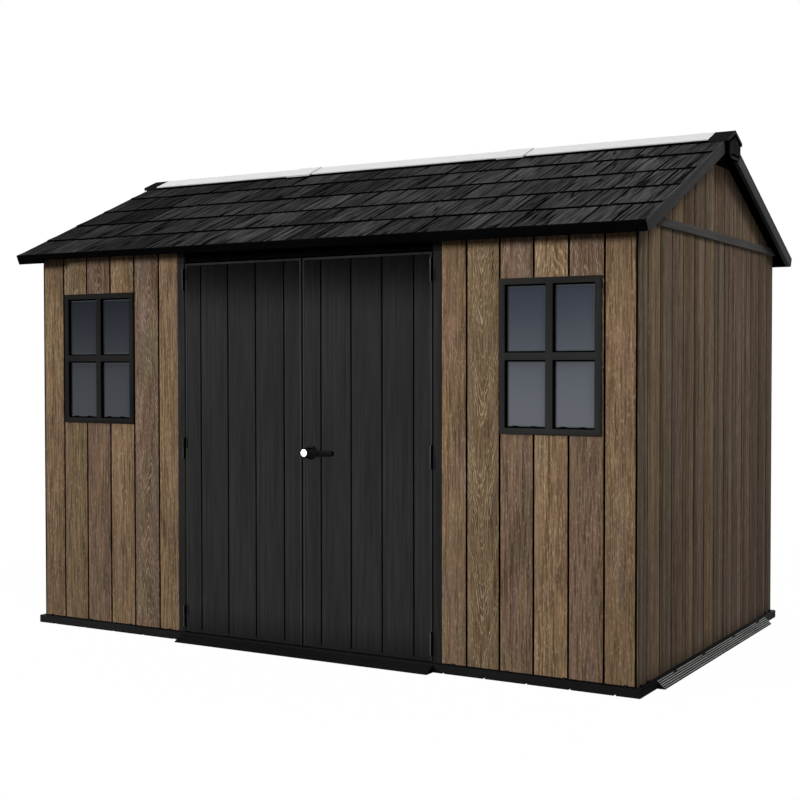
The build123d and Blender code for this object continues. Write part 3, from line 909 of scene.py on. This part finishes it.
# Windows: flat frame with crossed bars, black gaskets round four panes, drain slots at the foot
windowLook = {
    "edge": 0.0025,
    "rebate": 0.004,          # frame faces this near the panes are painted black as shade in the rebate
    "bar": 0.033,
    "gasket": 0.006,
    "gasketProud": 0.003,
    "bead": 0.004,
    "beadProud": 0.001,
    "paneEdge": 0.0005,
    # The left window is painted in shade: panes at half tone, frame in a darker copy of the frame finish
    "leftTone": 0.50,
    "rightTone": 1.0,
    "leftFinish": "shadedFrame",
    "rightFinish": "windowFrame",
    "drain": (0.026, 0.003),  # width and height of a slot
    "drainProud": 0.001,
    "drains": (0.16, 0.62),   # shares of the way along a pane
}


def makeWindow(side):
    look = windowLook
    frameNode, glassNode = side + "_window_frame", side + "_window_glass"
    low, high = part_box(glassNode)
    reach = look["rebate"]

    def inRebate(face):
        middle = face.calc_center_median()
        within = low.x - reach < middle.x < high.x + reach and low.z - reach < middle.z < high.z + reach
        return within and abs(face.normal.y) < 0.5

    bm = softened(frameNode, look["edge"])
    # Faces in the rebate are painted black, a painted shade
    paint(bm, 1, inRebate)
    middle = (low + high) / 2
    half = look["bar"] / 2
    gasket = look["gasket"]
    back, front = low.y, low.y - look["gasketProud"]
    linings = ((gasket, 0.0, front, 1), (look["bead"], gasket, back - look["beadProud"], 2))
    wide, tall = look["drain"]
    for x0, x1 in ((low.x, middle.x - half), (middle.x + half, high.x)):
        for z0, z1 in ((low.z, middle.z - half), (middle.z + half, high.z)):
            for width, inset, proud, finish in linings:
                for left, right, foot, head in ring(x0 + inset, x1 - inset, z0 + inset, z1 - inset, width):
                    slab(bm, (left, proud, foot), (right, back, head), finish)
            for share in look["drains"] if z0 == low.z else ():
                x, z = x0 + (x1 - x0) * share, z0 + gasket
                slab(bm, (x, front - look["drainProud"], z), (x + wide, back, z + tall), 1)
    frameFinishes = (look[side + "Finish"], "paneGasket", "paneBead")
    addPiece(side + "WindowFrame", bm, frameFinishes, "window_frames", frameNode)
    panes = boardMesh()
    slab(panes, low, high)
    bevelEdges(panes, panes.edges[:], look["paneEdge"], 1)
    # The panes' tone carries the left window's painted shade
    stampBoard(panes, 0.0, (0.0, look[side + "Tone"], 0.0, 0.0))
    addPiece(side + "WindowPanes", panes, ("windowPane",), "window_glass", glassNode)


makeWindow("left")
makeWindow("right")
print("windows glazed")

# Roof: split shingles in courses that follow the roof's own steps
shingleLook = {
    "courses": 5,
    "step": 0.010,
    "thick": 0.012,
    "lap": 0.02,
    "eaveSetBack": 0.003,
    "joint": 0.010,
    "narrow": 0.075,
    "wide": 0.27,
    "edge": 0.0015,
    "lift": 0.0012,
    "liftSpread": 0.001,
    "slip": 0.006,
    "twist": 0.5,             # degrees either way
    "toneSpread": 0.38,
    "eavePaintedLight": 0.28,         # painted light, paler to the right, in the first course and the last
    "ridgePaintedLight": 0.34,
    "coreLap": 0.002,         # dark sheet under the shingles, and how far it stays inside the edges
    "coreInset": 0.02,
    "coreSetBack": 0.014,
    "seed": 5,
}
fasciaLook = {"edge": 0.002, "raised": 0.020, "ear": 0.10}
bargeLook = {
    "edge": 0.002, "lip": 0.004, "lipProud": -0.003, "lipDeep": 0.013, "lipOut": 0.0006, "capGap": 0.002,
}


def makeShingles(side):
    look = shingleLook
    matrix = slopeFrames[side]
    rolls = random.Random(look["seed"] + len(side))
    pitch = slopeLength / look["courses"]
    lean = Matrix.Rotation(-math.atan2(look["step"], pitch), 4, "X")
    edgeX = rakeX - bargeLook["lip"]
    coreX = rakeX - look["coreInset"]
    coreTop = look["coreLap"] - look["step"] - look["thick"]
    joint = look["joint"] / 2
    bm = boardMesh()
    joinSlab(bm, matrix, (-coreX, look["coreSetBack"], -roofThick), (coreX, slopeLength, coreTop), 1)
    for course in range(look["courses"]):
        x = -edgeX
        start = course * pitch if course else look["eaveSetBack"]
        length = min(pitch + look["lap"], slopeLength - start)
        paintedShading = look["eavePaintedLight"] + (look["ridgePaintedLight"] - look["eavePaintedLight"]) * course / (look["courses"] - 1)
        while x < edgeX:
            width = rolls.uniform(look["narrow"], look["wide"])
            if edgeX - (x + width) < look["narrow"]:
                width = edgeX - x
            first, last = x == -edgeX, x + width >= edgeX
            x0 = x if first else x + joint
            x1 = x + width if last else x + width - joint
            straight = first or last or not course      # shingles along the rakes and the eaves
            slip = 0.0 if straight else rolls.uniform(0, look["slip"])
            shingle = boardMesh()
            slab(shingle, (x0, -slip, -look["thick"]), (x1, length, 0))
            bevelEdges(shingle, topEdges(shingle), look["edge"], 1)
            shingle.normal_update()
            # Butts and joints stay in shade
            paint(shingle, 1, lambda face: face.normal.y < -0.9 or abs(face.normal.x) > 0.9)
            # Each shingle's own random tone, and painted light that is paler to the right
            tone = 1.0 + rolls.uniform(-1, 1) * look["toneSpread"] + paintedShading * x / edgeX
            stampBoard(shingle, (x0 + x1) / 2, (rolls.random(), tone, 0.0, 0.0), 1)
            twist = 0.0 if straight else math.radians(rolls.uniform(-1, 1) * look["twist"])
            middle = Vector(((x0 + x1) / 2, 0, 0))
            turn = Matrix.Translation(middle) @ Matrix.Rotation(twist, 4, "Z") @ Matrix.Translation(-middle)
            rise = look["lift"] + rolls.uniform(-look["liftSpread"], look["liftSpread"])
            joinInto(bm, shingle, matrix @ Matrix.Translation((0, start, rise)) @ lean @ turn)
            x += width
    roofFinishes = ("shingleCharcoal", "roofCore")
    addPiece(side + "Shingles", bm, roofFinishes, "charcoal_shingles", side + "_roof_slope")


def makeBarge(side, end):
    # Board under the rake, with a thin straight lip over the ends of the shingles
    look = bargeLook
    node = f"{side}_{end}_barge_board"
    bm = softened(node, look["edge"])
    outward = signs[end] * signs[side]      # in the slope's own frame
    x0, x1 = outwardSpan(outward, rakeX - look["lip"], rakeX + look["lipOut"])
    capEdge = (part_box(end + "_ridge_cap")[0].y - eaveCorner.y) / math.cos(roofPitch) - look["capGap"]
    lipLow, lipHigh = (x0, shingleLook["eaveSetBack"], -look["lipDeep"]), (x1, capEdge, look["lipProud"])
    joinSlab(bm, slopeFrames[side], lipLow, lipHigh)
    addPiece(f"{side}{end.title()}Barge", bm, ("bargeGrey",), "grey_trim", node)


def makeFascia(side):
    # Deep past the first corner of the wall, and notched there to run out again at the far end
    look = fasciaLook
    node = side + "_eaves_fascia"
    low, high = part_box(node)
    sign = signs[side]
    notch = Vector((-sign * (cornerX - look["ear"]), 0, low.z + look["raised"]))
    inward = Vector((sign, 0, 0))
    runOut = Vector((-sign * look["raised"], 0, notch.x * sign - high.x)).normalized()
    ear = softened(node, look["edge"])
    cutAway(ear, notch, inward)
    bm = softened(node, look["edge"])
    cutAway(bm, notch, -inward)
    cutAway(bm, notch, runOut)
    joinInto(bm, ear)
    addPiece(side + "Fascia", bm, ("blackTrim",), "black_trim", node)


for side in slopeFrames:
    makeShingles(side)
    makeFascia(side)
    for end in ("left", "right"):
        makeBarge(side, end)
print("roof shingled")

# Ridge: pale sheets over a black strip that paints the shadow gap under their edges, lapped at the seams, and
# a hooded cap at each end
ridgeLook = {
    "rise": 0.012, "thick": 0.005, "halfWidth": 0.109, "shadowStrip": 0.010, "shadowStripBack": 0.006, "step": 0.006,
    "lap": 0.148, "lapRise": 0.0035, "lapThick": 0.0085, "lapDrop": 0.018,
    "overrun": 0.2,           # sheet past the ridge before it is mitred
}


def ridgeSheet(bm, x0, x1, top, thick, halfWidth, finish=0):
    # One leaf on each slope, mitred at the ridge
    edge = (-halfWidth - eaveCorner.y + top * math.sin(roofPitch)) / math.cos(roofPitch)
    for side, matrix in slopeFrames.items():
        leaf = bmesh.new()
        slab(leaf, (x0, edge, top - thick), (x1, slopeLength + ridgeLook["overrun"], top), finish)
        bmesh.ops.transform(leaf, matrix=matrix, verts=leaf.verts)
        cutAway(leaf, Vector((0, 0, 0)), Vector((0, signs[side], 0)))
        joinInto(bm, leaf)


def makeSkylights():
    look = ridgeLook
    halfLap, halfWidth, rise = look["lap"] / 2, look["halfWidth"], look["rise"]
    shadowStripLow = (-halfWidth - eaveCorner.y) / math.cos(roofPitch) + look["shadowStripBack"]
    for length in ("left", "middle", "right"):
        node = "ridge_skylight_" + length
        low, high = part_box(node)
        bm = bmesh.new()
        x0, x1 = low.x, high.x
        if length == "middle":
            x0, x1 = low.x + halfLap, high.x - halfLap
            for seam in (x0, x1):
                top, wide = rise + look["lapRise"], halfWidth + look["lapDrop"]
                ridgeSheet(bm, seam - halfLap, seam + halfLap, top, look["lapThick"], wide)
        ridgeSheet(bm, x0, x1, rise, look["thick"], halfWidth)
        # A black strip set back under each sheet's edge is a painted shadow
        for matrix in slopeFrames.values():
            shadowStripHigh = (x1, shadowStripLow + look["shadowStrip"], rise - look["thick"])
            joinSlab(bm, matrix, (x0, shadowStripLow, -look["step"]), shadowStripHigh, 1)
        addPiece(length + "Skylight", bm, ("ridgeLight", "roofCore"), "skylight", node)


makeSkylights()

capLook = {
    "edge": 0.002,
    "under": -0.003,          # painted shadow line under the hood, below the slope's face
    "shadow": 0.014,
    "lipHigh": 0.014,
    "lipProud": 0.003,
    "lipEdge": 0.002,
    "slot": 0.012,
    "slotProud": 0.0008,
    "sunk": 0.002,            # how deep lip and slot start behind the pendant's face
    "pendantHalf": 0.086,
    "pendantFootHalf": 0.058,
    "pendantHigh": 0.06,
    "faceReach": 0.0015,      # what lies this near the pendant's face is part of it
    "hoodHigh": 0.068,
}


def makeCap(end):
    look = capLook
    node = end + "_ridge_cap"
    sign = signs[end]
    low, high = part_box(node)
    bm = softened(node, look["edge"])
    ends = [f.calc_center_median() for f in bm.faces if f.normal.x * sign > 0.99]
    faceX = max(abs(middle.x) for middle in ends if middle.z < low.z + look["pendantHigh"])

    def onPendant(face):
        gap = abs(abs(face.calc_center_median().x) - faceX)
        return face.normal.x * sign > 0.9 and gap < look["faceReach"]

    # End faces take the rim's grey; below the hood the cap is painted black as shade, all but the pendant's
    # grey face
    paint(bm, 3, lambda face: face.normal.x * sign > 0.6)
    paint(bm, 2, lambda face: face.calc_center_median().z < high.z - look["hoodHigh"])
    paint(bm, 1, onPendant)
    half = look["pendantFootHalf"]
    lipTop = low.z + look["lipHigh"]
    x0, x1 = outwardSpan(sign, faceX - look["sunk"], faceX + look["lipProud"])
    lip = slab(bm, (x0, -half, low.z), (x1, half, lipTop), 3)
    bevelEdges(bm, edgesOf(lip), look["lipEdge"])
    # The slot over the lip is a black slab, a painted shade
    x0, x1 = outwardSpan(sign, faceX - look["sunk"], faceX + look["slotProud"])
    slab(bm, (x0, -half, lipTop), (x1, half, lipTop + look["slot"]), 2)
    ridgeSheet(bm, x0, x1, look["under"], look["shadow"], look["pendantHalf"], 2)
    capFinishes = ("ridgeCapBlack", "pendantGrey", "paneGasket", "ridgeCapRim")
    addPiece(end + "RidgeCap", bm, capFinishes, "black_trim", node)


# Gable trim: rail and louvred vent under the ridge, and the rafters between the gables
gableLook = {"railEdge": 0.003, "rafterEdge": 0.002}
ventLook = {
    "edge": 0.001, "slots": 6, "slotHigh": 0.006, "slotProud": 0.0006, "first": 0.007, "pitch": 0.0125,
    "edgeGap": 0.022, "hood": 0.003, "hoodProud": 0.004, "hoodEdge": 0.0008, "sunk": 0.002,
}


def makeVent(end):
    look = ventLook
    node = end + "_gable_vent"
    low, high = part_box(node)
    bm = softened(node, look["edge"])
    faceX = max(abs(low.x), abs(high.x))
    slotX = outwardSpan(signs[end], faceX - look["sunk"], faceX + look["slotProud"])
    hoodX = outwardSpan(signs[end], faceX - look["sunk"], faceX + look["hoodProud"])
    # Black slots between the hoods paint the shade between the louvres
    for step in range(look["slots"]):
        z = low.z + look["first"] + step * look["pitch"]
        half = (high.z - z - look["slotHigh"]) / math.tan(roofPitch) - look["edgeGap"]
        slotTop = z + look["slotHigh"]
        slab(bm, (slotX[0], -half, z), (slotX[1], half, slotTop), 1)
        hood = slab(bm, (hoodX[0], -half, slotTop), (hoodX[1], half, slotTop + look["hood"]), 0)
        bevelEdges(bm, edgesOf(hood), look["hoodEdge"], 1)
    addPiece(end + "GableVent", bm, ("ventGrey", "paneGasket"), "grey_trim", node)


for end in ("left", "right"):
    makeCap(end)
    makeVent(end)
    rail = end + "_gable_rail"
    addPiece(end + "GableRail", softened(rail, gableLook["railEdge"]), ("railGrey",), "grey_trim", rail)
rafters = softened("roof_rafters", gableLook["rafterEdge"])
addPiece("rafters", rafters, ("rafterSteel",), "rafter_steel", "roof_rafters")
print("ridge and gables trimmed")

# Base: a slab with drain notches under its long edges, pegs at the wall feet and a planked floor
baseLook = {
    "edge": 0.002,
    "shadowStripHigh": 0.004,
    "shadowStripProud": 0.003,
    "shadowStripSunk": 0.001,
    "notchInset": 0.001,
    "notchWide": 0.010,
    "notchHigh": 0.005,
    "notchDeep": 0.04,
    "notches": (0.76, 0.96, 1.16, 1.36, 1.56),    # distances from the middle of a wall
    "pegs": (0.80, 1.06, 1.33, 1.60),
    "endPegs": (0.90, 0.985),
    "pegWide": 0.014,
    "pegHigh": 0.008,
    "pegDeep": 0.009,
    "pegSunk": 0.002,
    "pegEdge": 0.0015,
    "planks": 13,
    "plankGap": 0.006,
    "plankProud": 0.001,
    "plankSunk": 0.001,
}


def addSlabAndFeet(bm):
    look = baseLook
    x, y, lift = baseHigh.x, baseHigh.y, look["notchHigh"]
    slab(bm, (-x, -y, lift), (x, y, baseTop))
    corners = [e for e in bm.edges if e.verts[0].co.xy == e.verts[1].co.xy]
    bevelEdges(bm, topEdges(bm, baseTop) + corners, look["edge"])
    deep = look["notchDeep"]
    inset = look["notchInset"]
    slab(bm, (-x + inset, -y + deep, 0), (x - inset, y - deep, lift))
    stops = sorted([-place for place in look["notches"]] + list(look["notches"]))
    half = look["notchWide"] / 2
    starts = [-x + inset] + [place + half for place in stops]
    ends = [place - half for place in stops] + [x - inset]
    for x0, x1 in zip(starts, ends):
        slab(bm, (x0, -y + inset, 0), (x1, -y + deep, lift))
        slab(bm, (x0, y - deep, 0), (x1, y - inset, lift))
    bm.normal_update()
    # The base's end faces get a darker copy of its finish, a painted shade
    paint(bm, 1, lambda face: abs(face.normal.x) > 0.9)


def addShadowStripsAndPegs(bm):
    look = baseLook
    half, sunk = look["pegWide"] / 2, look["shadowStripSunk"]
    # Black strips along the wall feet paint the shadow line between the walls and the base
    shadowStrips = {"front": ((-cornerX, -jambEdge), (jambEdge, cornerX)), "back": ((-cornerX, cornerX),)}
    for side, matrix in wallFrames.items():
        for x0, x1 in shadowStrips.get(side, ()):
            shadowStripHigh = (x1, sunk, baseTop + look["shadowStripHigh"])
            joinSlab(bm, matrix, (x0, -look["shadowStripProud"], baseTop - sunk), shadowStripHigh, 2)
        for place in look["pegs"] if side in shadowStrips else look["endPegs"]:
            for middle in (-place, place):
                pegLow = (middle - half, -look["pegDeep"], baseTop - look["pegSunk"])
                pegHigh = (middle + half, 0, baseTop + look["pegHigh"])
                joinSlab(bm, matrix, pegLow, pegHigh, 0, look["pegEdge"])


def makeBase():
    look = baseLook
    bm = bmesh.new()
    addSlabAndFeet(bm)
    addShadowStripsAndPegs(bm)
    inner, gap = -faceY - wallThick, look["plankGap"]
    reach = cornerX - wallThick
    pitch = (2 * inner + gap) / look["planks"]
    plankLow, plankHigh = baseTop - look["plankSunk"], baseTop + look["plankProud"]
    for step in range(look["planks"]):
        y0 = -inner + step * pitch
        joinSlab(bm, None, (-reach, y0, plankLow), (reach, y0 + pitch - gap, plankHigh), 3)
    baseFinishes = ("blackBase", "baseEndGrey", "paneGasket", "floorCharcoal")
    addPiece("basePanel", bm, baseFinishes, "black_base", "floor_panel")


# Ramps: raised slats over a dark wedge, with clips along the end ramps
rampLook = {
    "door": {"slats": 5, "gap": 0.0035, "recess": 0.0022, "toeGap": 0.0, "clips": ()},
    "end": {
        "slats": 5, "gap": 0.0054, "recess": 0.0024, "toeGap": 0.004, "clips": (-0.617, -0.214, 0.259, 0.680),
    },
}
slatLook = {"edge": 0.0008, "clipHalf": 0.018, "clipSlats": 2.3, "clipSunk": 0.001, "clipProud": 0.0028}


def makeRamp(node, name, side, look, finishNames, slotName):
    low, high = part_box(node)
    alongY = side != "front"
    length = high.y - low.y if alongY else high.x - low.x
    reach = high.x - low.x if alongY else high.y - low.y
    ledge = baseHigh.x - cornerX
    head = high.z
    toe = min(v.co.z for v in nodes[node].data.vertices if v.co.z > meshLook["weld"])
    matrix = wallFrames[side]
    wedge = bmesh.new()
    slab(wedge, (-length / 2, -ledge - reach, 0), (length / 2, -ledge, head), 1)
    incline = Vector((0, -(head - toe), reach)).normalized()
    cutAway(wedge, Vector((0, -ledge, head)) - incline * look["recess"], incline)
    bm = bmesh.new()
    joinInto(bm, wedge, matrix)
    run = math.hypot(reach, head - toe)
    tilt = Matrix.Rotation(math.atan2(head - toe, reach), 4, "X")
    slope = matrix @ Matrix.Translation((0, -ledge - reach, toe)) @ tilt
    wide = (run - look["toeGap"] - look["gap"] * (look["slats"] - 1)) / look["slats"]
    slats = bmesh.new()
    for step in range(look["slats"]):
        y0 = look["toeGap"] + step * (wide + look["gap"])
        slab(slats, (-length / 2, y0, -look["recess"]), (length / 2, y0 + wide, 0))
    bevelEdges(slats, topEdges(slats), slatLook["edge"], 1)
    half = slatLook["clipHalf"]
    for place in look["clips"]:
        clipLow = (place - half, run - wide * slatLook["clipSlats"], -slatLook["clipSunk"])
        slab(slats, clipLow, (place + half, run, slatLook["clipProud"]), 1)
    joinInto(bm, slats, slope)
    addPiece(name, bm, finishNames, slotName, node)


makeBase()
makeRamp("door_ramp", "doorRamp", "front", rampLook["door"], ("blackBase", "roofCore"), "black_base")
for end in ("left", "right"):
    makeRamp(end + "_end_ramp", end + "EndRamp", end, rampLook["end"], ("rampGrey", "rampShade"), "grey_ramp")
print("base laid")

# Handle, too small to throw a shadow in soft light: node, edge, finish, slot and body of each piece
handleLook = {
    "handleRosette": ("handle_rosette", 0.002, "handleBlack", "handle_black", "right_door"),
    "handleLever": ("handle_lever", 0.003, "handleBlack", "handle_black", "door_handle"),
    "lockFace": ("lock_face", 0.001, "lockFace", "lock_metal", "door_handle"),
}
for name, (node, edge, finish, slotName, body) in handleLook.items():
    addPiece(name, softened(node, edge), (finish,), slotName, node, body=body, shadow=False)
print("handle fitted")

# Camera, floor and light
cameraLook = {
    "place": (3.5789, -6.2538, 1.3533), "azimuth": 30.232, "elevation": 1.419, "roll": -0.05,
    "lens": 60.83, "sensor": 36.0,
}


def fromAngles(azimuth, elevation):
    # Way from the object to a camera or lamp, in degrees from the front and up
    turn, rise = math.radians(azimuth), math.radians(elevation)
    return Vector((math.sin(turn) * math.cos(rise), -math.cos(turn) * math.cos(rise), math.sin(rise)))


def addCamera():
    look = cameraLook
    back = fromAngles(look["azimuth"], look["elevation"])
    camera = bpy.data.objects.new("camera", bpy.data.cameras.new("camera"))
    camera.data.lens = look["lens"]
    camera.data.sensor_width = look["sensor"]
    camera.data.sensor_fit = "HORIZONTAL"
    camera.location = look["place"]
    camera.rotation_mode = "QUATERNION"
    roll = Matrix.Rotation(math.radians(look["roll"]), 3, "Z").to_quaternion()
    camera.rotation_quaternion = (-back).to_track_quat("-Z", "Y") @ roll
    bpy.context.scene.collection.objects.link(camera)
    bpy.context.scene.camera = camera


lightLook = {
    "sky": 0.26,
    "lamps": {  # strength, softness, azimuth and elevation in degrees
        "keySun": (2.85, 15.0, -38.0, 9.5),
        "endSun": (1.16, 20.0, 62.0, 46.0),
        "rearFill": (0.9, 60.0, -150.0, 30.0),
    },
}
floorLook = {"half": 60.0, "drop": 0.0005, "shade": 0.20, "grey": 0.14, "white": 1.225}


def seenDirectly(s):
    # One for camera, glossy and transmitted rays
    outputs = s.node("ShaderNodeLightPath").socket.node.outputs
    rays = [Field(s, outputs[name]) for name in ("Is Camera Ray", "Is Glossy Ray", "Is Transmission Ray")]
    return s.smooth(rays[0] + rays[1] + rays[2], 0.0, 1.0)


def addLight():
    scene = bpy.context.scene
    scene.view_settings.view_transform = "Standard"
    scene.world = bpy.data.worlds.new("studio")
    s = Shader(scene.world)
    strength = seenDirectly(s) * (1.0 - lightLook["sky"]) + lightLook["sky"]
    sky = s.node("ShaderNodeBackground", None, {"Color": rgb(1, 1, 1), "Strength": strength})
    s.node("ShaderNodeOutputWorld", None, {"Surface": sky})
    for name, (strength, softness, azimuth, elevation) in lightLook["lamps"].items():
        lamp = bpy.data.objects.new(name, bpy.data.lights.new(name, "SUN"))
        lamp.data.energy = strength
        lamp.data.angle = math.radians(softness)
        lamp.rotation_mode = "QUATERNION"
        lamp.rotation_quaternion = (-fromAngles(azimuth, elevation)).to_track_quat("-Z", "Y")
        scene.collection.objects.link(lamp)


def addFloor():
    look = floorLook
    bm = bmesh.new()
    bmesh.ops.create_grid(bm, x_segments=1, y_segments=1, size=look["half"])
    bmesh.ops.translate(bm, vec=(0, 0, -look["drop"]), verts=bm.verts)
    mesh = bpy.data.meshes.new("studioFloor")
    bm.to_mesh(mesh)
    bm.free()
    s = newMaterial("studioFloor")
    pale = s.node("ShaderNodeBsdfDiffuse", None, {"Color": rgb(*[look["grey"]] * 3)})
    white = s.node("ShaderNodeEmission", None, {"Color": rgb(1, 1, 1), "Strength": look["white"]})
    share = seenDirectly(s) * (1.0 - look["shade"])
    both = s.node("ShaderNodeMixShader", None, {0: share, 1: pale, 2: white})
    s.node("ShaderNodeOutputMaterial", None, {"Surface": both})
    mesh.materials.append(s.owner)
    floor = bpy.data.objects.new("studioFloor", mesh)
    bpy.context.scene.collection.objects.link(floor)


addCamera()
addLight()
addFloor()
print("studio lit")
